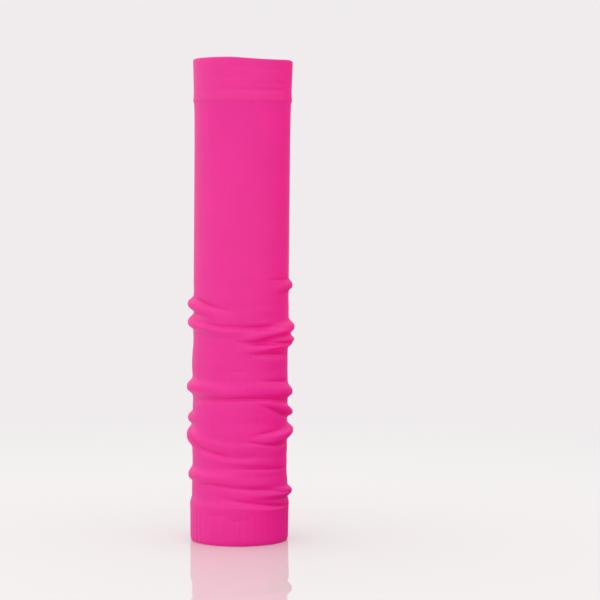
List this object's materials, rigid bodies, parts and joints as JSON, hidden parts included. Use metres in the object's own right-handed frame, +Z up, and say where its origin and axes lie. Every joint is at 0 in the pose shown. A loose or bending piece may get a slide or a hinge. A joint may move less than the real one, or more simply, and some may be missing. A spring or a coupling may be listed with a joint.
{
  "type": "arm sleeve",
  "caption": "Knitted tube sleeve for the arm, open at both ends, with a turned welt above, a jersey tube pushed down into soft folds, and a ribbed wrist cuff.",
  "frame": {"origin": "on the floor under the middle of the sleeve's box", "axes": "+Z up along the sleeve, from the wrist cuff to the upper-arm band; the front faces -Y"},
  "size_m": [0.0912, 0.0846, 0.4032],
  "materials": {
    "welt_knit": "double knitted welt, matte",
    "jersey_knit": "fine single jersey, matte",
    "rib_knit": "ribbed knit, matte"
  },
  "bodies": {
    "root": {"upper_band": "welt_knit", "sleeve_body": "jersey_knit", "wrist_cuff": "rib_knit"}
  },
  "joints": []
}
